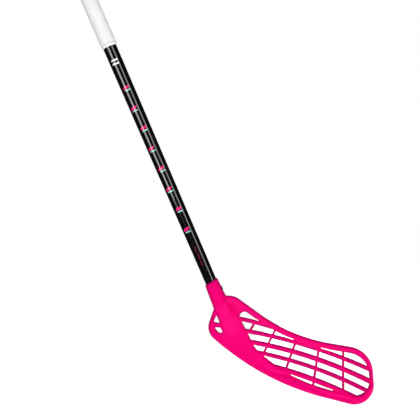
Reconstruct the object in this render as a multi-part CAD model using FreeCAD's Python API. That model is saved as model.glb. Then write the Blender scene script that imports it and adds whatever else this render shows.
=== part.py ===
import FreeCAD, Part
import math
import os

# A floorball stick: tapered shaft, wound grip, end cap and one screwed-on net blade.
# Millimetres. +Z runs up the shaft to the butt end, +X towards the toe of the blade.
# The origin is on the shaft's axis, at the middle of the grip.

# Shaft, a tube that is cylindrical under the grip and tapers below it
shaft_length = 710.0
shaft_diameter = 21.6
shaft_tip_diameter = 17.5
shaft_wall = 1.6

# Grip, a soft tape wound on the shaft, and the tape collar that finishes its lower end
grip_length = 256.0
grip_thickness = 2.3
grip_top_bevel = 0.8
collar_width = 6.2
collar_thickness = 0.35
collar_land = 4.0

# End cap, a soft plug with sealing ribs
cap_height = 6.0
cap_setback = 0.25
cap_bevel = 2.0
cap_plug_length = 22.0
cap_rib_count = 2
cap_rib_height = 0.5
cap_rib_width = 3.0

# Hosel, the conical socket of the blade
socket_depth = 40.0
hosel_top_diameter = 23.0
hosel_base_diameter = 26.8
hosel_slant = 10.0
hosel_lip_bevel = 1.2

# Bulge that fairs the hosel into the panel of the blade
bulge_length = 66.0
bulge_width = 28.0
bulge_buried_thickness = 4.0
bulge_fullness = 1.3
bulge_steps = 4

# Blade, measured along its bottom chord and across it
blade_length = 280.0
blade_height = 100.0
blade_lie = 49.0
hook_radius = 1400.0
dish_radius = 260.0
rim_thickness = 8.0
rim_bevel = 2.8
top_rim_width = 9.7
toe_rim_width = 5.8
lower_rim_width = 13.4

# Net of the blade: ribs along it and across it
rib_depth = 5.6
rib_width = 6.1
middle_rib_width = 7.4
lowest_rib_width = 8.0
rib_bevel = 1.6
cross_rib_depth = 3.8
cross_rib_width = 2.7
rib_root = 2.0
window_round = 0.7
window_bevel = 1.1
web_depth = 4.4

# Screw that holds the blade on the shaft
screw_drop = 16.5
screw_diameter = 4.0
screw_length = 11.0
screw_head_diameter = 8.6
screw_head_height = 2.6
screw_head_bevel = 1.2
screw_recess_width = 1.1
screw_recess_length = 4.6
screw_recess_depth = 1.4
screw_seat_wall = 2.0

# Clearances between the pieces
glue_gap = 0.1
plug_clearance = 0.15
screw_clearance = 0.15

# Corners of the blade's drawing, as shares of its length and height from the hosel's base,
# each with the share of its shorter side that its rounding takes
outline_corners = [
    (-0.014, 0.143, 0),
    (0.050, 0.223, 0.46),
    (0.441, 0.021, 0.58),
    (0.866, 0.398, 0.34),
    (1.036, -0.425, 0.45),
    (0.408, -0.824, 0.82),
    (-0.011, -0.498, 0.32),
    (-0.030, 0.000, 0),
]
panel_upper = (0.152, -0.113)
panel_knee = (0.289, -0.408)
panel_lower = (0.446, -0.514)
net_rounding = [0.378, 0.579, 0.397, 0.460, 0.683, 0.108]

# Centre lines of the ribs, in the same shares
long_ribs = [
    [(0.118, -0.088), (0.230, -0.014), (0.343, 0.040)],
    [(0.171, -0.228), (0.546, 0.008), (0.921, 0.113)],
    [(0.243, -0.338), (0.600, -0.124), (0.957, -0.056)],
    [(0.286, -0.451), (0.621, -0.265), (0.957, -0.211)],
    [(0.386, -0.550), (0.650, -0.431), (0.914, -0.391)],
]
cross_ribs = [
    [(0.219, -0.015), (0.215, -0.175)],
    [(0.341, 0.030), (0.340, -0.420)],
    [(0.474, 0.000), (0.492, -0.500)],
    [(0.607, 0.045), (0.668, -0.535)],
    [(0.727, 0.215), (0.830, -0.390)],
]
heel_windows = [
    [(0.003, -0.176), (0.007, -0.303), (0.040, -0.279)],
    [(0.023, -0.376), (0.054, -0.337), (0.081, -0.401), (0.057, -0.421)],
]
web_corners = [(0.030, 0.090), (0.115, -0.060), (0.128, 0.050)]
dish_middle = -0.22
slab_overrun = 0.25

# Places that follow from the sizes above
shaft_top = grip_length / 2
shaft_bottom = shaft_top - shaft_length
taper_start = -grip_length / 2 - collar_width
neck_top = shaft_bottom + socket_depth
screw_level = neck_top - screw_drop
grip_radius = shaft_diameter / 2 + grip_thickness
rib_widths = [rib_width, rib_width, middle_rib_width, rib_width, lowest_rib_width]

UP = FreeCAD.Vector(0, 0, 1)
TOEWARDS = FreeCAD.Vector(1, 0, 0)
THROUGH = FreeCAD.Vector(0, 1, 0)
TOUCH = 0.01


def mixed(first, second, share):
    """Value that lies a share of the way from the first to the second."""
    return first + share * (second - first)


def shaft_radius(level):
    """Outer radius of the shaft at a height on its axis."""
    share = max(0.0, (taper_start - level) / (taper_start - shaft_bottom))
    return mixed(shaft_diameter, shaft_tip_diameter, share) / 2


def revolved(profile):
    """Solid of revolution about the shaft's axis from (radius, height) corners."""
    corners = [FreeCAD.Vector(radius, 0, height) for radius, height in profile]
    face = Part.Face(Part.makePolygon(corners + corners[:1]))
    return face.revolve(FreeCAD.Vector(0, 0, 0), UP, 360)


def hosel_radius(level):
    """Outer radius of the conical hosel at a height on its axis."""
    share = (neck_top - level) / socket_depth
    return mixed(hosel_top_diameter, hosel_base_diameter, share) / 2


def screw_hole():
    """Cylinder on the screw's axis, from the shaft's axis out through the hosel's wall."""
    centre = FreeCAD.Vector(0, 0, screw_level)
    return Part.makeCylinder(screw_diameter / 2 + screw_clearance, hosel_base_diameter, centre, TOEWARDS)


def screw_seat():
    """Distance of the flat under the screw head from the shaft's axis."""
    return shaft_radius(screw_level) + glue_gap + screw_seat_wall


def make_shaft():
    """Hollow shaft with the pilot hole of the blade screw."""
    tube = revolved([
        (shaft_radius(shaft_top) - shaft_wall, shaft_top),
        (shaft_radius(shaft_top), shaft_top),
        (shaft_radius(taper_start), taper_start),
        (shaft_radius(shaft_bottom), shaft_bottom),
        (shaft_radius(shaft_bottom) - shaft_wall, shaft_bottom),
        (shaft_radius(taper_start) - shaft_wall, taper_start),
    ])
    return tube.cut(screw_hole())


def make_grip_wrap():
    """Sleeve of wound tape with a bevelled upper edge."""
    inner = shaft_diameter / 2 + glue_gap
    return revolved([
        (inner, -grip_length / 2),
        (grip_radius, -grip_length / 2),
        (grip_radius, shaft_top - grip_top_bevel),
        (grip_radius - grip_top_bevel, shaft_top),
        (inner, shaft_top),
    ])


def make_grip_collar():
    """Ring of finishing tape, drawn down from the grip onto the shaft."""
    inner = shaft_diameter / 2 + glue_gap
    top = -grip_length / 2
    return revolved([
        (inner, top),
        (grip_radius, top),
        (grip_radius, top - collar_land),
        (inner + collar_thickness, taper_start),
        (inner, taper_start),
    ])


def make_end_cap():
    """Bevelled cap whose ribbed plug fills the upper end of the shaft."""
    plug_radius = shaft_diameter / 2 - shaft_wall - plug_clearance
    core_radius = plug_radius - cap_rib_height
    cap_radius = grip_radius - cap_setback
    cap_top = shaft_top + cap_height
    plug_end = shaft_top - cap_plug_length
    profile = [(0, plug_end), (core_radius, plug_end)]
    pitch = cap_plug_length / cap_rib_count
    for index in range(cap_rib_count):
        level = plug_end + (index + 0.5) * pitch
        profile.append((core_radius, level - cap_rib_width / 2))
        profile.append((plug_radius, level))
        profile.append((core_radius, level + cap_rib_width / 2))
    profile.append((core_radius, shaft_top))
    profile.append((cap_radius, shaft_top))
    profile.append((cap_radius, cap_top - cap_bevel))
    profile.append((cap_radius - cap_bevel, cap_top))
    profile.append((0, cap_top))
    return revolved(profile)


def at(share):
    """Point of the blade's flat drawing from shares of its length and height."""
    return FreeCAD.Vector(share[0] * blade_length, 0, share[1] * blade_height)


def rounded_wire(corners, cuts, closed=True):
    """Outline whose corners are rounded by arcs that start a cut away from them."""
    count = len(corners)
    edges = []
    stops = []
    for index, corner in enumerate(corners):
        before = (corners[index - 1] - corner).normalize()
        after = (corners[(index + 1) % count] - corner).normalize()
        start = corner + before * cuts[index]
        end = corner + after * cuts[index]
        stops.append((start, end))
        if cuts[index] > 0:
            half_angle = before.getAngle(after) / 2
            radius = cuts[index] * math.tan(half_angle)
            middle = (before + after).normalize()
            nearest = corner + middle * (radius / math.sin(half_angle) - radius)
            edges.append(Part.Arc(start, nearest, end).toShape())
    for index in range(0 if closed else 1, count):
        edges.append(Part.makeLine(stops[index - 1][1], stops[index][0]))
    return Part.Wire(Part.__sortEdges__(edges))


def rounding_cuts(corners, shares):
    """Length that each rounding takes from both its sides, as a share of the shorter one."""
    cuts = []
    for index, share in enumerate(shares):
        before = corners[index - 1].distanceToPoint(corners[index])
        after = corners[(index + 1) % len(corners)].distanceToPoint(corners[index])
        cuts.append(share * min(before, after))
    return cuts


def outline_wire(closed=True):
    """Outer edge of the blade from the hosel round the toe and the heel, closed inside the hosel."""
    corners = [at(corner) for corner in outline_corners]
    shares = [corner[2] for corner in outline_corners]
    return rounded_wire(corners, rounding_cuts(corners, shares), closed)


def inset_line(start, end, inset):
    """Side of the outline moved inwards, as a point and a direction."""
    direction = (end - start).normalize()
    return start + THROUGH.cross(direction) * inset, direction


def meet(first, second):
    """Point where two lines of the drawing cross."""
    normal = THROUGH.cross(second[1])
    reach = normal.dot(second[0] - first[0]) / normal.dot(first[1])
    return first[0] + first[1] * reach


def net_wire():
    """Edge of the field that the net fills, inside the rim and beside the panel."""
    corners = [at(corner) for corner in outline_corners]
    top = inset_line(corners[1], corners[2], top_rim_width)
    rise = inset_line(corners[2], corners[3], top_rim_width)
    toe = inset_line(corners[3], corners[4], toe_rim_width)
    lower = inset_line(corners[4], corners[5], lower_rim_width)
    foot = inset_line(at(panel_lower), at(panel_knee), 0)
    panel = inset_line(at(panel_knee), at(panel_upper), 0)
    points = [
        meet(panel, top), meet(top, rise), meet(rise, toe), meet(toe, lower), meet(lower, foot),
        at(panel_knee),
    ]
    return rounded_wire(points, rounding_cuts(points, net_rounding))


def arc_band(shares, width):
    """Flat strip of a width along the arc through three points."""
    points = [at(share) for share in shares]
    circle = Part.Arc(*points).toShape().Curve
    sides = []
    for change in (width / 2, -width / 2):
        factor = 1 + change / circle.Radius
        sides.append([circle.Center + (point - circle.Center) * factor for point in points])
    outer, inner = sides
    return Part.Face(Part.Wire([
        Part.Arc(*outer).toShape(),
        Part.makeLine(outer[2], inner[2]),
        Part.Arc(inner[2], inner[1], inner[0]).toShape(),
        Part.makeLine(inner[0], outer[0]),
    ]))


def straight_band(shares, width):
    """Flat strip of a width along the line between two points."""
    start, end = [at(share) for share in shares]
    side = THROUGH.cross((end - start).normalize()) * (width / 2)
    corners = [start + side, end + side, end - side, start - side]
    return Part.Face(Part.makePolygon(corners + corners[:1]))


def corner_face(shares, radius):
    """Flat polygon with all its corners rounded alike."""
    corners = [at(share) for share in shares]
    cuts = []
    for index, corner in enumerate(corners):
        before = corners[index - 1] - corner
        after = corners[(index + 1) % len(corners)] - corner
        cuts.append(radius / math.tan(before.getAngle(after) / 2))
    return Part.Face(rounded_wire(corners, cuts))


def prism(face):
    """A flat drawing pushed right through the blade's thickness."""
    reach = blade_length ** 2 / (2 * hook_radius) + blade_height ** 2 / (2 * dish_radius) + rim_thickness
    base = face.copy()
    base.translate(THROUGH * -reach)
    return base.extrude(THROUGH * (2 * reach))


def slab(thickness):
    """Layer of even thickness that hooks along the blade and is dished across it."""
    middle = dish_middle * blade_height
    spread = math.asin(blade_height / dish_radius)
    sides = []
    for radius in (dish_radius - thickness / 2, dish_radius + thickness / 2):
        sides.append([
            FreeCAD.Vector(0, radius * math.cos(angle) - dish_radius, middle + radius * math.sin(angle))
            for angle in (-spread, 0, spread)
        ])
    inner, outer = sides
    section = Part.Face(Part.Wire([
        Part.Arc(*inner).toShape(),
        Part.makeLine(inner[2], outer[2]),
        Part.Arc(outer[2], outer[1], outer[0]).toShape(),
        Part.makeLine(outer[0], inner[0]),
    ]))
    pivot = FreeCAD.Vector(0, -hook_radius, 0)
    heel_turn = math.degrees(slab_overrun * blade_length / hook_radius)
    toe_turn = math.degrees((1 + slab_overrun) * blade_length / hook_radius)
    section.rotate(pivot, UP, heel_turn)
    return section.revolve(pivot, -UP, heel_turn + toe_turn)


def blade_frame():
    """Rim and panel of the blade with its open field and heel windows, edges bevelled."""
    inner = net_wire()
    face = Part.Face(outline_wire()).cut(Part.Face(inner))
    for corners in heel_windows:
        face = face.cut(corner_face(corners, window_round))
    body = prism(face).common(slab(rim_thickness))
    body = body.makeChamfer(rim_bevel, edges_along(body, outline_wire(closed=False)))
    return body.makeChamfer(window_bevel, edges_along(body, inner))


def edges_along(body, wire):
    """Edges of a pushed-through body that follow a wire of its flat drawing."""
    found = []
    for edge in body.Edges:
        middle = edge.valueAt((edge.FirstParameter + edge.LastParameter) / 2)
        flat = Part.Vertex(middle.x, 0, middle.z)
        along = edge.tangentAt(edge.FirstParameter)
        crossing = abs(along.dot(THROUGH)) > along.cross(THROUGH).Length
        if not crossing and flat.distToShape(wire)[0] < TOUCH:
            found.append(edge)
    return found


def bevelled_rib(shares, width):
    """Rib along the arc through three points, with its long edges bevelled."""
    bar = prism(arc_band(shares, width)).common(slab(rib_depth))
    return bar.makeChamfer(rib_bevel, [edge for edge in bar.Edges if edge.Length > 2 * width])


def blade_net():
    """Long ribs and thinner cross ribs, rooted in the rim and the panel."""
    field = Part.Face(net_wire()).makeOffset2D(rib_root)
    layers = []
    for shares, width in zip(long_ribs, rib_widths):
        layers.append(bevelled_rib(shares, width).common(prism(field)))
    for shares in cross_ribs:
        strip = straight_band(shares, cross_rib_width).common(field)
        layers.append(prism(strip).common(slab(cross_rib_depth)))
    return layers


def make_hosel():
    """Conical socket body with its slanted, bevelled mouth, and the bulge below it."""
    top = neck_top + hosel_top_diameter / 2
    base = FreeCAD.Vector(0, 0, shaft_bottom)
    cone = Part.makeCone(hosel_base_diameter / 2, hosel_radius(top), top - shaft_bottom, base)
    reach = hosel_base_diameter
    cutter = Part.makeBox(2 * reach, 2 * reach, reach, FreeCAD.Vector(-reach, -reach, 0))
    cutter.rotate(FreeCAD.Vector(0, 0, 0), THROUGH, -hosel_slant)
    cutter.translate(FreeCAD.Vector(0, 0, neck_top))
    cone = cone.cut(cutter)
    mouth = [edge for edge in cone.Edges if edge.BoundBox.ZMin > shaft_bottom + socket_depth / 2]
    cone = cone.makeChamfer(hosel_lip_bevel, mouth)
    sections = [Part.Wire(Part.Circle(base, UP, hosel_base_diameter / 2).toShape())]
    for step in range(1, bulge_steps + 1):
        share = step / bulge_steps
        centre = FreeCAD.Vector(0, 0, shaft_bottom - share * bulge_length)
        half_width = mixed(hosel_base_diameter, bulge_width, share) / 2
        half_depth = mixed(hosel_base_diameter, bulge_buried_thickness, share ** bulge_fullness) / 2
        sections.append(Part.Wire(Part.Ellipse(centre, half_width, half_depth).toShape()))
    return cone.fuse(Part.makeLoft(sections, True, True))


def make_socket():
    """Space of the shaft's end in the blade, with the screw's hole and flat seat."""
    top = neck_top + hosel_top_diameter / 2
    bore = Part.makeCone(
        shaft_radius(shaft_bottom) + glue_gap, shaft_radius(top) + glue_gap,
        top - shaft_bottom, FreeCAD.Vector(0, 0, shaft_bottom))
    seat = Part.makeCylinder(
        screw_head_diameter / 2 + screw_clearance, hosel_base_diameter,
        FreeCAD.Vector(screw_seat(), 0, screw_level), TOEWARDS)
    return bore.fuse(screw_hole()).fuse(seat)


def make_blade():
    """One moulding: rim, panel, net and hosel."""
    flat = blade_frame()
    web = prism(corner_face(web_corners, window_round))
    flat = flat.cut(web.cut(slab(web_depth)))
    flat = flat.fuse(blade_net())
    flat.rotate(FreeCAD.Vector(0, 0, 0), THROUGH, blade_lie)
    flat.translate(FreeCAD.Vector(0, 0, shaft_bottom))
    return flat.fuse(make_hosel()).cut(make_socket())


def make_blade_screw():
    """Pan-head screw along +X with a cross recess."""
    seat = FreeCAD.Vector(screw_seat(), 0, screw_level)
    head = Part.makeCylinder(screw_head_diameter / 2, screw_head_height, seat, TOEWARDS)
    crown = [edge for edge in head.Edges if edge.BoundBox.XMin > screw_seat() + screw_head_height / 2]
    head = head.makeChamfer(screw_head_bevel, crown)
    shank = Part.makeCylinder(screw_diameter / 2, screw_length, seat, -TOEWARDS)
    screw = head.fuse(shank)
    for turn in (0, 90):
        slot = Part.makeBox(
            screw_recess_depth * 2, screw_recess_width, screw_recess_length,
            FreeCAD.Vector(-screw_recess_depth, -screw_recess_width / 2, -screw_recess_length / 2))
        slot.rotate(FreeCAD.Vector(0, 0, 0), TOEWARDS, turn)
        slot.translate(seat + TOEWARDS * screw_head_height)
        screw = screw.cut(slot)
    return screw.removeSplitter()


pieces = {
    "shaft": make_shaft,
    "grip_wrap": make_grip_wrap,
    "grip_collar": make_grip_collar,
    "end_cap": make_end_cap,
    "blade": make_blade,
    "blade_screw": make_blade_screw,
}
os.makedirs("parts", exist_ok=True)
for name, make in pieces.items():
    shape = make()
    shape.exportStep("parts/" + name + ".step")
    print(name, "valid", shape.isValid(), "solids", len(shape.Solids), "volume", round(shape.Volume))
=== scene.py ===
import math
from collections import namedtuple

import bmesh
import bpy
import numpy as np
from mathutils import Matrix, Vector


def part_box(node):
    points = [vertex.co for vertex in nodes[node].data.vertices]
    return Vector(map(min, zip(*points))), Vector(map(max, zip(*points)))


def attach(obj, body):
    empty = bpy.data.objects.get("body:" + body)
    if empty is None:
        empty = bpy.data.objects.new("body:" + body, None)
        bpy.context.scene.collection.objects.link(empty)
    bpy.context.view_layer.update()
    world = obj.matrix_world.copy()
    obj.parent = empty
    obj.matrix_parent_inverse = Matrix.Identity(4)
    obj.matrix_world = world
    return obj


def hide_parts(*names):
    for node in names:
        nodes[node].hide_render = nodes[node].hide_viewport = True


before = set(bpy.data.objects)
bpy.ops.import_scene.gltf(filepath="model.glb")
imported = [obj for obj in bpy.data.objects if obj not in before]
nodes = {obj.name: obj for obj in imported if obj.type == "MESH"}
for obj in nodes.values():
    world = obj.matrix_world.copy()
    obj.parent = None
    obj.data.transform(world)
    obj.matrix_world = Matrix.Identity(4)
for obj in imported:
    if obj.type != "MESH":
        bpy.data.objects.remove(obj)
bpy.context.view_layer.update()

# A floorball stick in metres: +Z up the shaft, +X towards the toe, the camera looks along +Y.
scene = bpy.context.scene
scene.view_settings.view_transform = "Standard"

# Places and sizes read from the frame
shaft_low, shaft_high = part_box("shaft")
grip_low, grip_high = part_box("grip_wrap")
collar_low, collar_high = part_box("grip_collar")
cap_low, cap_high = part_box("end_cap")
SHAFT_RADIUS = shaft_high.x
GRIP_RADIUS = grip_high.x
CAP_RADIUS = cap_high.x

# Turned pieces: points round them, points on a rounded corner, and the angle from which an edge is sharp
TURNS = 96
ARC_STEPS = 6
SHARP_ANGLE = math.radians(40)

# Shaft, with the lacquer that coats it from the slanted mouth of the hosel up to the band
TIP_RADIUS = 0.00875
SHAFT_WALL = 0.0016
RING_STEP = 0.005
GLUE_GAP = 0.0001
LACQUER_TOP = 0.0003
LACQUER_LOW = 0.0006
LACQUER_RUN = 0.0002
HOSEL_MOUTH = -0.5420
HOSEL_SLANT = math.radians(10)
bare_low = HOSEL_MOUTH + GLUE_GAP
bare_high = collar_low.z

# Grip: the wound tape's pitch, and its seam, whose width is a share of the pitch
GRIP_TURNS = 128
GRIP_STEP = 0.001
GRIP_ROUND = 0.0009
TAPE_PITCH = 0.029
SEAM_DEPTH = 0.00016
SEAM_WIDTH = 0.045
OVERLAP_HEIGHT = 0.00010

# Finishing band, which slopes down to the shaft, and the radii of its corners
BAND_EDGE = 0.0004
BAND_SLOPE = 0.0028
BAND_SHOULDER_INSET = 0.0004
BAND_TOP_INSET = 0.0002
BAND_ROUNDS = [0, 0.00015, 0.0015, 0.0007, 0]

# Cap with a ribbed plug, whose ribs reach as far up as down, and the radii of the cap's corners
PLUG_RADIUS = 0.00905
PLUG_BEVEL = 0.001
PLUG_RIBS = 2
RIB_HEIGHT = 0.0005
RIB_REACH = 0.0015
CAP_ROUNDS = [0, 0.0004, 0.0028, 0]

# Points of a node's mesh that are closer than this are joined
WELD = 1e-6

# Screw: the height of its head, and the share of that height that it keeps
SCREW_HEAD = 0.0026
HEAD_SHARE = 0.75
SCREW_SHARP_ANGLE = math.radians(30)

# Skin of the blade: rounds of pulling and pushing its points even, then of rounding its edges
VOXEL = 0.0006
SOFTENING = 60
ROUNDING = 10
PULL = 0.5
PUSH = -0.46
KEEP_SHARE = 0.35

# Map of the blade's open space, and how far its window walls grow
MAP_CELL = 0.001
MAP_MARGIN = 12
BLUR_REACH = 3
WALL_REACH = 0.0020
WALL_BLUR = 0.0012
WALL_GAIN = 2
WALL_GROWTH = 0.00044
THIN_GROWTH = 3.4
OPEN_BLUR = 0.0040
EDGE_BLUR = 0.0040
OUTER_SHARE = 0.45
OPENNESS = "openness"

# Soft grooves in the blade along the lower rim and beside the hosel: a spread and (x, z, depth) points
GROOVES = [
    (0.003, [
        (0.0195, -0.6824, 0), (0.0219, -0.6930, 0.0006), (0.0307, -0.7116, 0.0011),
        (0.0562, -0.7286, 0.0018), (0.0781, -0.7566, 0.0010), (0.1024, -0.7810, 0.0011),
        (0.1229, -0.7950, 0.0015), (0.1390, -0.8080, 0),
    ]),
    (0.005, [(0.0130, -0.5800, 0.0006), (0.0185, -0.5930, 0.0013), (0.0225, -0.6060, 0.0008)]),
]


# Meshes

def new_piece(name, mesh):
    """Object of a mesh that rides on the stick."""
    piece = bpy.data.objects.new(name, mesh)
    scene.collection.objects.link(piece)
    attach(piece, "root")
    return piece


def read_points(points, name):
    """Vectors of a mesh's points as rows of an array."""
    rows = np.empty(len(points) * 3)
    points.foreach_get(name, rows)
    return rows.reshape(-1, 3)


def write_places(mesh, places):
    """Puts moved points back into a mesh."""
    mesh.vertices.foreach_set("co", places.ravel())
    mesh.update()


def shade_smooth(mesh):
    """Gives all faces of a mesh smooth shading."""
    mesh.polygons.foreach_set("use_smooth", [True] * len(mesh.polygons))
    mesh.update()


def welded(node):
    """Copy of a node's mesh with its coincident points joined."""
    mesh = node.data.copy()
    work = bmesh.new()
    work.from_mesh(mesh)
    bmesh.ops.remove_doubles(work, verts=work.verts, dist=WELD)
    work.to_mesh(mesh)
    work.free()
    return mesh


def apply_modifiers(piece):
    """Gives a piece the mesh that its modifiers make, and drops them."""
    ready = piece.evaluated_get(bpy.context.evaluated_depsgraph_get())
    piece.data = bpy.data.meshes.new_from_object(ready)
    piece.data.materials.clear()
    piece.modifiers.clear()


# Turned pieces

def rounded_profile(points, radii):
    """(radius, height) corners with arcs of the given radii in place of the corners."""
    found = []
    count = len(points)
    for index, corner in enumerate(points):
        here = Vector(corner)
        if radii[index] == 0:
            found.append(tuple(here))
            continue
        before = (Vector(points[index - 1]) - here).normalized()
        after = (Vector(points[(index + 1) % count]) - here).normalized()
        half = before.angle(after) / 2
        reach = radii[index] / math.tan(half)
        centre = here + (before + after).normalized() * radii[index] / math.sin(half)
        start = here + before * reach - centre
        sweep = start.angle_signed(here + after * reach - centre)
        for step in range(ARC_STEPS + 1):
            turned = start.copy()
            turned.rotate(Matrix.Rotation(-sweep * step / ARC_STEPS, 2))
            found.append(tuple(centre + turned))
    return found


def lathe(name, profile, shift=None, turns=TURNS):
    """Closed mesh turned about the shaft's axis from (radius, height) points.

    A point on the axis becomes one vertex. shift(angle, radius, height) says how far a point moves out.
    """
    verts = []
    rings = []
    for radius, height in profile:
        if radius == 0:
            rings.append([len(verts)] * turns)
            verts.append((0, 0, height))
            continue
        ring = []
        for turn in range(turns):
            angle = 2 * math.pi * turn / turns
            out = radius + (shift(angle, radius, height) if shift else 0)
            ring.append(len(verts))
            verts.append((out * math.cos(angle), out * math.sin(angle), height))
        rings.append(ring)
    first = 0 if profile[0][0] > 0 else 1
    faces = []
    for index in range(first, len(rings)):
        lower, upper = rings[index - 1], rings[index]
        for turn in range(turns):
            after = (turn + 1) % turns
            corners = [lower[turn], lower[after], upper[after], upper[turn]]
            face = list(dict.fromkeys(corners))
            if len(face) > 2:
                faces.append(face)
    mesh = bpy.data.meshes.new(name)
    mesh.from_pydata(verts, [], faces)
    shade_smooth(mesh)
    mesh.set_sharp_from_angle(angle=SHARP_ANGLE)
    return mesh


def steps_between(low, high, step):
    """Evenly spaced heights from low to high, both included."""
    count = max(1, round(abs(high - low) / step))
    return [low + (high - low) * index / count for index in range(count + 1)]


def taper(height):
    """Share of the shaft's taper that lies above a height."""
    return max(0.0, (bare_high - height) / (bare_high - shaft_low.z))


def tube_radius(height):
    """Outer radius of the shaft's tube at a height."""
    return SHAFT_RADIUS + taper(height) * (TIP_RADIUS - SHAFT_RADIUS)


def shaft_radius(height):
    """Outer radius of the shaft at a height, with its lacquer."""
    inside = min(height - bare_low, bare_high - height)
    covered = min(1, max(0, inside / LACQUER_RUN))
    lacquer = LACQUER_TOP + taper(height) * (LACQUER_LOW - LACQUER_TOP)
    return tube_radius(height) + covered * lacquer


def make_shaft():
    """Tapered tube, thicker by its lacquer from the slanted mouth of the hosel up to the band."""
    levels = [shaft_low.z, bare_low, bare_low + LACQUER_RUN, bare_high - LACQUER_RUN, bare_high, shaft_high.z]
    heights = levels[:1]
    for low, high in zip(levels, levels[1:]):
        heights += steps_between(low, high, RING_STEP)[1:]
    outer = [(shaft_radius(z), z) for z in heights]
    inner = [(tube_radius(z) - SHAFT_WALL, z) for z in (shaft_high.z, bare_high, shaft_low.z)]
    mesh = lathe("shaft_tube", outer + inner)
    places = read_points(mesh.vertices, "co")
    edge = np.abs(places[:, 2] - bare_low) < RING_STEP / 2
    places[edge, 2] += places[edge, 0] * math.tan(HOSEL_SLANT)
    write_places(mesh, places)
    piece = new_piece("shaft_tube", mesh)
    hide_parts("shaft")
    return piece


def winding(angle, radius, height):
    """How far the wound tape stands out at an angle and height."""
    if radius < GRIP_RADIUS - GRIP_ROUND:
        return 0
    along = (height / TAPE_PITCH + angle / (2 * math.pi)) % 1
    near = min(along, 1 - along)
    seam = -SEAM_DEPTH * math.exp(-(near / SEAM_WIDTH) ** 2)
    return seam - OVERLAP_HEIGHT * along


def make_grip():
    """Wound grip tape: a closed sleeve with a soft helical seam and rounded ends."""
    inner = SHAFT_RADIUS + GLUE_GAP
    ends = rounded_profile([
        (inner, grip_low.z), (GRIP_RADIUS, grip_low.z), (GRIP_RADIUS, grip_high.z), (inner, grip_high.z),
    ], [0, GRIP_ROUND, GRIP_ROUND, 0])
    half = len(ends) // 2
    wall = steps_between(grip_low.z + GRIP_ROUND, grip_high.z - GRIP_ROUND, GRIP_STEP)[1:-1]
    profile = ends[:half] + [(GRIP_RADIUS, z) for z in wall] + ends[half:]
    piece = new_piece("grip_tape", lathe("grip_tape", profile, winding, GRIP_TURNS))
    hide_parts("grip_wrap")
    return piece


def make_collar():
    """Finishing band that closes the grip's lower end, rounded down to the shaft."""
    inner = SHAFT_RADIUS + GLUE_GAP
    profile = rounded_profile([
        (inner, collar_low.z),
        (inner + BAND_EDGE, collar_low.z),
        (collar_high.x - BAND_SHOULDER_INSET, collar_low.z + BAND_SLOPE),
        (collar_high.x - BAND_TOP_INSET, collar_high.z),
        (inner, collar_high.z),
    ], BAND_ROUNDS)
    piece = new_piece("finishing_band", lathe("finishing_band", profile))
    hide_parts("grip_collar")
    return piece


def make_cap():
    """Domed rubber cap with its ribbed plug."""
    core = PLUG_RADIUS - RIB_HEIGHT
    profile = [(0, cap_low.z), (core - PLUG_BEVEL, cap_low.z), (core, cap_low.z + PLUG_BEVEL)]
    pitch = (shaft_high.z - cap_low.z) / PLUG_RIBS
    for index in range(PLUG_RIBS):
        level = cap_low.z + (index + 0.5) * pitch
        profile += [(core, level - RIB_REACH), (PLUG_RADIUS, level), (core, level + RIB_REACH)]
    profile += rounded_profile([
        (core, shaft_high.z), (CAP_RADIUS, shaft_high.z), (CAP_RADIUS, cap_high.z), (0, cap_high.z),
    ], CAP_ROUNDS)
    piece = new_piece("butt_cap", lathe("butt_cap", profile))
    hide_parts("end_cap")
    return piece


# Blade and its screw

def largest_part(mesh):
    """Drops the crumbs that a remesh leaves beside the main part."""
    work = bmesh.new()
    work.from_mesh(mesh)
    left = set(work.verts)
    parts = []
    while left:
        queue = [left.pop()]
        part = []
        while queue:
            vert = queue.pop()
            part.append(vert)
            near = {edge.other_vert(vert) for edge in vert.link_edges} & left
            left -= near
            queue.extend(near)
        parts.append(part)
    parts.sort(key=len)
    crumbs = [vert for part in parts[:-1] for vert in part]
    bmesh.ops.delete(work, geom=crumbs, context="VERTS")
    work.to_mesh(mesh)
    work.free()


def evened(mesh, factors):
    """Moves each point towards its neighbours' middle by each factor in turn, or away by a negative one."""
    places = read_points(mesh.vertices, "co")
    count = len(places)
    ends = np.empty(len(mesh.edges) * 2, dtype=np.int64)
    mesh.edges.foreach_get("vertices", ends)
    first, second = ends.reshape(-1, 2).T
    degree = np.bincount(ends, minlength=count)
    for factor in factors:
        for axis in range(3):
            line = places[:, axis]
            near = np.bincount(first, line[second], count) + np.bincount(second, line[first], count)
            places[:, axis] = line + factor * (near / degree - line)
    write_places(mesh, places)


def grooved(mesh, spread, route):
    """Sinks a soft groove of a spread into both faces of the blade along (x, z, depth) points."""
    places = read_points(mesh.vertices, "co")
    facing = read_points(mesh.vertex_normals, "vector")[:, 1]
    sink = np.zeros(len(places))
    for (x0, z0, depth0), (x1, z1, depth1) in zip(route, route[1:]):
        across, down = places[:, 0] - x0, places[:, 2] - z0
        share = (across * (x1 - x0) + down * (z1 - z0)) / ((x1 - x0) ** 2 + (z1 - z0) ** 2)
        share = np.clip(share, 0, 1)
        far = np.hypot(across - share * (x1 - x0), down - share * (z1 - z0))
        depth = depth0 + share * (depth1 - depth0)
        sink = np.maximum(sink, depth * np.exp(-(far / spread) ** 2))
    places[:, 1] -= facing * sink
    write_places(mesh, places)


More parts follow.
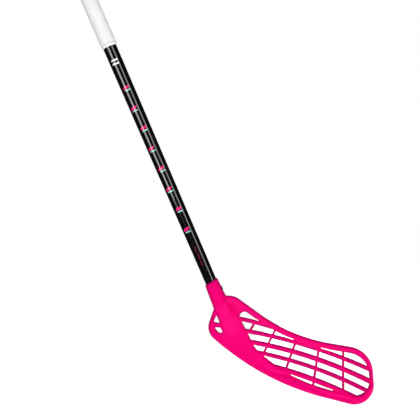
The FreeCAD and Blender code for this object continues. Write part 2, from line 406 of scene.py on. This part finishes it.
def open_maps(mesh):
    """Grids over the blade's outline, and their low corner.

    The first grid is 1 in the windows. The second adds the space round the blade by its share.
    """
    flat = read_points(mesh.vertices, "co")[:, (0, 2)]
    low = flat.min(axis=0) - MAP_MARGIN * MAP_CELL
    spots = ((flat - low) / MAP_CELL).astype(int)
    solid = np.zeros(spots.max(axis=0) + MAP_MARGIN, dtype=bool)
    solid[spots[:, 0], spots[:, 1]] = True
    outside = np.zeros_like(solid)
    outside[0] = True
    reached = 0
    while outside.sum() > reached:
        reached = outside.sum()
        outside[1:] |= outside[:-1]
        outside[:-1] |= outside[1:]
        outside[:, 1:] |= outside[:, :-1]
        outside[:, :-1] |= outside[:, 1:]
        outside &= ~solid
    windows = (~solid & ~outside).astype(float)
    return windows, windows + OUTER_SHARE * outside, low


def blurred(grid, spread):
    """Grid softened by a bell curve of a width in metres."""
    reach = math.ceil(BLUR_REACH * spread / MAP_CELL)
    weights = np.exp(-(np.arange(-reach, reach + 1) * MAP_CELL / spread) ** 2)
    weights /= weights.sum()
    for axis in (0, 1):
        grid = np.apply_along_axis(np.convolve, axis, grid, weights, "same")
    return grid


def sampled(grid, low, flat):
    """Values of a grid at (x, z) points."""
    spots = ((flat - low) / MAP_CELL).astype(int)
    spots = np.clip(spots, 0, np.array(grid.shape) - 1)
    return grid[spots[:, 0], spots[:, 1]]


def thickened(mesh, windows, low):
    """Lets the walls of the net's windows grow into them, thin cross ribs more than the rest."""
    places = read_points(mesh.vertices, "co")
    outward = read_points(mesh.vertex_normals, "vector")[:, (0, 2)]
    flat = places[:, (0, 2)]
    beside = sampled(blurred(windows, WALL_BLUR), low, flat + WALL_REACH * outward)
    thin = sampled(blurred(windows, OPEN_BLUR), low, flat)
    growth = WALL_GROWTH * np.clip(WALL_GAIN * beside, 0, 1) * (1 + THIN_GROWTH * thin ** 2)
    on_toe_side = flat[:, 0] > 0
    places[:, (0, 2)] += (growth * on_toe_side)[:, None] * outward
    write_places(mesh, places)


def make_blade():
    """The blade's own mesh with a moulding's rounded edges, and with each point's nearness to open space."""
    piece = new_piece("blade_moulding", welded(nodes["blade"]))
    skin = piece.modifiers.new("skin", "REMESH")
    skin.mode = "VOXEL"
    skin.voxel_size = VOXEL
    apply_modifiers(piece)
    largest_part(piece.data)
    evened(piece.data, [PULL, PUSH] * SOFTENING)
    windows, _, low = open_maps(piece.data)
    thickened(piece.data, windows, low)
    evened(piece.data, [PULL] * ROUNDING)
    _, gaps, low = open_maps(piece.data)
    for spread, route in GROOVES:
        grooved(piece.data, spread, route)
    thin = piece.modifiers.new("thin", "DECIMATE")
    thin.ratio = KEEP_SHARE
    apply_modifiers(piece)
    shade_smooth(piece.data)
    openness = piece.data.attributes.new(OPENNESS, "FLOAT", "POINT")
    flat = read_points(piece.data.vertices, "co")[:, (0, 2)]
    openness.data.foreach_set("value", sampled(blurred(gaps, EDGE_BLUR), low, flat))
    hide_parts("blade")
    return piece


def make_screw():
    """The screw's own mesh with its head pressed flatter into its seat."""
    mesh = welded(nodes["blade_screw"])
    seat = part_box("blade_screw")[1].x - SCREW_HEAD
    places = read_points(mesh.vertices, "co")
    head = places[:, 0] > seat
    places[head, 0] = seat + HEAD_SHARE * (places[head, 0] - seat)
    write_places(mesh, places)
    shade_smooth(mesh)
    mesh.set_sharp_from_angle(angle=SCREW_SHARP_ANGLE)
    mesh.materials.clear()
    piece = new_piece("hosel_screw", mesh)
    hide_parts("blade_screw")
    return piece


# Materials

# Tones of each finish along a noise, and painted shade on the blade near open space and in its hollows
PINK_TONES = [(0.3, (0.80, 0.0, 0.150)), (0.7, (0.86, 0.0, 0.178))]
EDGE_SHADE_TINTS = [
    (0.0, (1, 1, 1)), (0.06, (0.90, 1, 0.95)), (0.16, (0.70, 1, 0.84)),
    (0.34, (0.56, 1, 0.76)), (0.55, (0.40, 1, 0.62)),
]
HOLLOW_SHADE_TINTS = [(0.45, (0.70, 1, 0.42)), (0.92, (1, 1, 1))]
LACQUER_TONES = [(0.3, (0.0015, 0.0015, 0.0018)), (0.7, (0.0040, 0.0040, 0.0045))]
GRIP_TONES = [(0.25, (0.94, 0.94, 0.945)), (0.75, (0.97, 0.97, 0.97))]
TAPE_TONES = [(0.3, (0.80, 0.80, 0.78)), (0.7, (0.86, 0.86, 0.84))]
RUBBER_TONES = [(0.3, (0.016, 0.016, 0.017)), (0.7, (0.028, 0.028, 0.029))]
STEEL_TONES = [(0.35, (0.03, 0.026, 0.03)), (0.75, (0.09, 0.08, 0.085))]
HOLLOW_REACH = 0.03
HOLLOW_SAMPLES = 12

# Rows of bars printed down the shaft, whose middles, measured round the shaft, take turns
Bars = namedtuple("Bars", "ink count top pitch height middles width slant")
PINK_BARS = Bars(
    ink=(0.80, 0.012, 0.19, 1), count=8, top=-0.205, pitch=0.035, height=0.0050,
    middles=(-0.0015, -0.0035), width=0.0095, slant=0.8)
DIM_DASHES = Bars(
    ink=(0.22, 0.006, 0.05, 1), count=3, top=-0.485, pitch=0.012, height=0.009,
    middles=(-0.002,), width=0.0016, slant=0)
MINT_BARS = PINK_BARS._replace(
    ink=(0.30, 0.66, 0.58, 1), top=-0.2098, height=0.0022, middles=(-0.0005, -0.0025))
WHITE_BARS = Bars(
    ink=(0.86, 0.86, 0.86, 1), count=2, top=-0.158, pitch=0.006, height=0.0030,
    middles=(-0.0015,), width=0.0110, slant=0)

# Usual range of a noise, and the places of the colour sockets on a Mix node
NOISE_LOW, NOISE_HIGH = 0.3, 0.7
FIRST_COLOUR, SECOND_COLOUR, MIXED_COLOUR = 6, 7, 2


def add_node(tree, kind, inputs, **settings):
    """New shader node with its settings, and with inputs set to a value or linked to a socket."""
    node = tree.nodes.new("ShaderNode" + kind)
    for name, value in settings.items():
        setattr(node, name, value)
    for name, value in inputs.items():
        if isinstance(value, bpy.types.NodeSocket):
            tree.links.new(value, node.inputs[name])
        else:
            node.inputs[name].default_value = value
    return node


class Look:
    """A material with short ways to add the nodes that it is painted with."""

    def __init__(self, name):
        self.material = bpy.data.materials.new(name)
        self.material.use_nodes = True
        self.tree = self.material.node_tree
        self.shader = self.tree.nodes["Principled BSDF"]
        self.place = self.add("TexCoord", {}).outputs["Object"]

    def add(self, kind, inputs, **settings):
        """New node in the material."""
        return add_node(self.tree, kind, inputs, **settings)

    def noise(self, scale, detail=2, along=1):
        """Noise over the object's own coordinates, with its scale along the shaft changed by a factor."""
        mapping = self.add("Mapping", {"Vector": self.place, "Scale": (1, 1, along)})
        inputs = {"Vector": mapping.outputs["Vector"], "Scale": scale, "Detail": detail}
        return self.add("TexNoise", inputs).outputs["Fac"]

    def ramp(self, value, stops):
        """Colours along a value, from (position, colour) pairs."""
        ramp = self.add("ValToRGB", {"Fac": value})
        elements = ramp.color_ramp.elements
        while len(elements) < len(stops):
            elements.new(0.5)
        for element, (position, colour) in zip(elements, stops):
            element.position = position
            element.color = (*colour, 1)
        return ramp.outputs["Color"]

    def math(self, operation, *values):
        """One arithmetic step on sockets or plain numbers."""
        return self.add("Math", dict(enumerate(values)), operation=operation).outputs["Value"]

    def spread(self, value, low, high):
        """A noise value mapped from its usual range to low to high."""
        return self.add("MapRange", {
            "Value": value, "From Min": NOISE_LOW, "From Max": NOISE_HIGH, "To Min": low, "To Max": high,
        }).outputs["Result"]

    def mix(self, share, first, second, blend="MIX"):
        """Second colour laid over the first by a share."""
        inputs = {"Factor": share, FIRST_COLOUR: first, SECOND_COLOUR: second}
        return self.add("Mix", inputs, data_type="RGBA", blend_type=blend).outputs[MIXED_COLOUR]

    def product(self, first, second):
        """Two colours multiplied."""
        return self.mix(1, first, second, "MULTIPLY")

    def bump(self, height, distance, strength):
        """Fine relief of the surface from a height."""
        node = self.add("Bump", {"Height": height, "Distance": distance, "Strength": strength})
        self.link("Normal", node.outputs["Normal"])

    def link(self, name, value):
        """Feeds one of the shader's inputs from a socket."""
        self.tree.links.new(value, self.shader.inputs[name])

    def fix(self, name, value):
        """Sets one of the shader's inputs to a plain value."""
        self.shader.inputs[name].default_value = value

    def dress(self, piece):
        """Puts the material on a piece."""
        piece.data.materials.append(self.material)


def pink_plastic():
    """Satin moulded plastic with faint flow marks and a fine grain, with painted shade near open space and in
    hollows.
    """
    look = Look("moulded_pink")
    flow = look.ramp(look.noise(scale=18, detail=3, along=0.4), PINK_TONES)
    openness = look.add("Attribute", {}, attribute_name=OPENNESS)
    # Painted shade: darker and redder near the windows and, less so, near the outer edge, where rounded edges
    # turn from the light.
    depth = look.ramp(openness.outputs["Fac"], EDGE_SHADE_TINTS)
    # Painted shade: darker and redder where ambient occlusion finds a hollow, such as the grooves and the dip
    # beside the hosel.
    hollow = look.add("AmbientOcclusion", {"Distance": HOLLOW_REACH}, samples=HOLLOW_SAMPLES, only_local=True)
    painted_recess_shade = look.ramp(hollow.outputs["AO"], HOLLOW_SHADE_TINTS)
    look.link("Base Color", look.product(look.product(flow, depth), painted_recess_shade))
    look.link("Roughness", look.spread(look.noise(scale=90), low=0.26, high=0.36))
    look.bump(look.noise(scale=1500), distance=0.00003, strength=0.5)
    look.fix("Specular IOR Level", 0.05)
    return look


def unrolled(look):
    """How far a point lies round the shaft from the line along its front, and its height."""
    split = look.add("SeparateXYZ", {"Vector": look.place})
    forward = look.math("MULTIPLY", split.outputs["Y"], -1)
    turn = look.math("ARCTAN2", split.outputs["X"], forward)
    return look.math("MULTIPLY", turn, SHAFT_RADIUS), split.outputs["Z"]


def printed(look, across, along, bars):
    """Mask of a row of bars on the shaft's surface."""
    total = None
    for index in range(bars.count):
        middle = bars.middles[index % len(bars.middles)]
        above = look.math("SUBTRACT", along, bars.top - bars.pitch * index)
        aside = look.math("SUBTRACT", across, middle)
        leaning = look.math("SUBTRACT", aside, look.math("MULTIPLY", above, bars.slant))
        high = look.math("LESS_THAN", look.math("ABSOLUTE", above), bars.height / 2)
        wide = look.math("LESS_THAN", look.math("ABSOLUTE", leaning), bars.width / 2)
        mask = look.math("MULTIPLY", high, wide)
        total = mask if total is None else look.math("MAXIMUM", total, mask)
    return total


def black_lacquer():
    """Clear gloss over black, printed with slanted bars in pink and mint, thin dashes and two white bars."""
    look = Look("gloss_black")
    across, along = unrolled(look)
    colour = look.ramp(look.noise(scale=60), LACQUER_TONES)
    for bars in (PINK_BARS, DIM_DASHES, MINT_BARS, WHITE_BARS):
        colour = look.mix(printed(look, across, along, bars), colour, bars.ink)
    look.link("Base Color", colour)
    look.link("Roughness", look.spread(look.noise(scale=60, detail=3, along=0.3), low=0.08, high=0.12))
    look.bump(look.noise(scale=350, along=0.3), distance=0.000002, strength=0.2)
    return look


def white_grip():
    """Soft matt tape with a fine grain and faint handling marks."""
    look = Look("grip_white")
    look.link("Base Color", look.ramp(look.noise(scale=45, detail=4, along=0.5), GRIP_TONES))
    look.link("Roughness", look.spread(look.noise(scale=200), low=0.62, high=0.8))
    look.bump(look.noise(scale=260), distance=0.00002, strength=0.4)
    return look


def white_tape():
    """Satin finishing tape with a slight cream tint."""
    look = Look("tape_white")
    look.link("Base Color", look.ramp(look.noise(scale=120, detail=3), TAPE_TONES))
    look.fix("Roughness", 0.45)
    look.bump(look.noise(scale=700, along=4), distance=0.00003, strength=0.5)
    return look


def black_rubber():
    """Matt rubber with a fine grain."""
    look = Look("rubber_black")
    look.link("Base Color", look.ramp(look.noise(scale=150, detail=3), RUBBER_TONES))
    look.fix("Roughness", 0.75)
    look.bump(look.noise(scale=1800), distance=0.00005, strength=0.6)
    return look


def black_steel():
    """Blackened screw steel, speckled with lighter metal."""
    look = Look("steel_black")
    look.fix("Metallic", 1.0)
    look.link("Base Color", look.ramp(look.noise(scale=900, detail=3), STEEL_TONES))
    look.link("Roughness", look.spread(look.noise(scale=600), low=0.3, high=0.5))
    look.bump(look.noise(scale=2500), distance=0.00002, strength=0.5)
    return look


# Stage

WHITE = (1, 1, 1, 1)
AMBIENT = 0.20

# Part of the backdrop that gloss reflects, as the Y of a direction, and the level of the dark room beside it
BACKDROP_START = 0.93
BACKDROP_FULL = 0.995
DARK_SIDE = 0.02

# Floor: its light on the object, and its own glow from the middle out to where it meets the backdrop
FLOOR_LEVEL = -0.94
FLOOR_RADIUS = 1.9
FLOOR_SIDES = 128
FLOOR_COLOUR = (0.85, 0.85, 0.85, 1)
BOUNCE = 0.5
GLOW_START = 0.3
GLOW_END = FLOOR_RADIUS * 0.9
GLOW_LOW = 0.20
GLOW_HIGH = 0.97

# Camera
LENS_MM = 75
SENSOR_MM = 36
CAMERA_PLACE = (0.0438, -1.4, -0.4367)
CAMERA_LEAN = math.radians(23.38)


def rays(tree):
    """Two values: 1 for rays that see the stage, from the camera, gloss or glass, and 1 for gloss alone."""
    path = add_node(tree, "LightPath", {})
    seen = path.outputs["Is Camera Ray"]
    for name in ("Is Glossy Ray", "Is Transmission Ray"):
        either = add_node(tree, "Math", {0: seen, 1: path.outputs[name]}, operation="MAXIMUM")
        seen = either.outputs["Value"]
    return seen, path.outputs["Is Glossy Ray"]


def make_world():
    """White backdrop, which gloss sees only straight behind the stick, and an even grey light all round."""
    world = bpy.data.worlds.new("studio")
    scene.world = world
    world.use_nodes = True
    tree = world.node_tree
    seen, glossy = rays(tree)
    direction = add_node(tree, "TexCoord", {})
    split = add_node(tree, "SeparateXYZ", {"Vector": direction.outputs["Generated"]})
    room = add_node(tree, "MapRange", {
        "Value": split.outputs["Y"], "From Min": BACKDROP_START, "From Max": BACKDROP_FULL,
        "To Min": DARK_SIDE,
    }, interpolation_type="SMOOTHSTEP")
    level = add_node(tree, "Mix", {"Factor": glossy, "A": 1.0, "B": room.outputs["Result"]})
    strength = add_node(tree, "Mix", {"Factor": seen, "A": AMBIENT, "B": level.outputs["Result"]})
    backdrop = tree.nodes["Background"]
    backdrop.inputs["Color"].default_value = WHITE
    tree.links.new(strength.outputs["Result"], backdrop.inputs["Strength"])
    world.cycles.sampling_method = "NONE"


def floor_material():
    """Pale matt floor that glows more towards its edge, where it turns into the white backdrop."""
    material = bpy.data.materials.new("floor")
    material.use_nodes = True
    tree = material.node_tree
    shader = tree.nodes["Principled BSDF"]
    shader.inputs["Base Color"].default_value = FLOOR_COLOUR
    shader.inputs["Roughness"].default_value = 0.9
    shader.inputs["Specular IOR Level"].default_value = 0.1
    shader.inputs["Emission Color"].default_value = WHITE
    place = add_node(tree, "TexCoord", {})
    far = add_node(tree, "VectorMath", {0: place.outputs["Object"]}, operation="LENGTH")
    fade = add_node(tree, "MapRange", {
        "Value": far.outputs["Value"], "From Min": GLOW_START, "From Max": GLOW_END,
        "To Min": GLOW_LOW, "To Max": GLOW_HIGH,
    })
    seen, _ = rays(tree)
    glow = add_node(tree, "Mix", {"Factor": seen, "A": BOUNCE, "B": fade.outputs["Result"]})
    tree.links.new(glow.outputs["Result"], shader.inputs["Emission Strength"])
    material.cycles.emission_sampling = "NONE"
    return material


def make_floor():
    """Round floor below the stick, which takes its shadow."""
    mesh = bpy.data.meshes.new("floor")
    work = bmesh.new()
    bmesh.ops.create_circle(work, cap_ends=True, radius=FLOOR_RADIUS, segments=FLOOR_SIDES)
    work.to_mesh(mesh)
    work.free()
    mesh.materials.append(floor_material())
    floor = bpy.data.objects.new("floor", mesh)
    floor.location = (0, 0, FLOOR_LEVEL)
    scene.collection.objects.link(floor)


def make_lamp(name, place, target, size, watts, lit=(), gloss=False):
    """Rectangular soft light that faces a point.

    It may light only the pieces in lit. With gloss it adds only to their gloss, else only to their matt tone.
    """
    lamp = bpy.data.lights.new(name, "AREA")
    lamp.shape = "RECTANGLE"
    lamp.size, lamp.size_y = size
    lamp.energy = watts
    holder = bpy.data.objects.new(name, lamp)
    holder.location = place
    aim = Vector(target) - Vector(place)
    holder.rotation_mode = "QUATERNION"
    holder.rotation_quaternion = aim.to_track_quat("-Z", "Y")
    holder.visible_camera = False
    holder.visible_glossy = gloss
    holder.visible_diffuse = not gloss
    if lit:
        only = bpy.data.collections.new(name)
        for piece in lit:
            only.objects.link(piece)
        holder.light_linking.receiver_collection = only
    scene.collection.objects.link(holder)


def around(azimuth, distance, height):
    """Point round the stick: azimuth 0 is the camera's side, positive towards the toe."""
    angle = math.radians(azimuth)
    return (distance * math.sin(angle), -distance * math.cos(angle), height)


def make_lamps():
    """A key at the camera, a fill behind, a light for the floor and two softboxes that only gloss shows."""
    floor = [scene.objects["floor"]]
    glossy = [scene.objects[name] for name in ("shaft_tube", "butt_cap", "hosel_screw")]
    make_lamp("key", place=(0.1, -2.0, -0.75), target=(0.05, 0, -0.5), size=(0.7, 0.7), watts=30)
    make_lamp("left_softbox", place=around(azimuth=-29, distance=1.6, height=0.06), target=(0, 0, -0.3),
              size=(0.80, 0.88), watts=20, lit=glossy, gloss=True)
    make_lamp("right_softbox", place=around(azimuth=41, distance=1.6, height=-0.18), target=(0.05, 0, -0.3),
              size=(0.60, 1.10), watts=11.4, lit=glossy, gloss=True)
    make_lamp("back_fill", place=around(azimuth=180, distance=2.2, height=0.5), target=(0, 0, -0.4),
              size=(1.6, 1.6), watts=28)
    make_lamp("floor_light", place=(0, 0.3, 1.5), target=(0, 0, FLOOR_LEVEL),
              size=(0.2, 0.2), watts=30, lit=floor)


def make_camera():
    """The photograph's view: level, rolled so that the stick leans."""
    data = bpy.data.cameras.new("camera")
    data.lens = LENS_MM
    data.sensor_width = SENSOR_MM
    camera = bpy.data.objects.new("camera", data)
    right = Vector((math.cos(CAMERA_LEAN), 0, -math.sin(CAMERA_LEAN)))
    up = Vector((math.sin(CAMERA_LEAN), 0, math.cos(CAMERA_LEAN)))
    turn = Matrix((right, up, right.cross(up))).transposed()
    camera.matrix_world = Matrix.Translation(CAMERA_PLACE) @ turn.to_4x4()
    scene.collection.objects.link(camera)
    scene.camera = camera


black_lacquer().dress(make_shaft())
white_grip().dress(make_grip())
white_tape().dress(make_collar())
black_rubber().dress(make_cap())
pink_plastic().dress(make_blade())
black_steel().dress(make_screw())
make_world()
make_floor()
make_lamps()
make_camera()
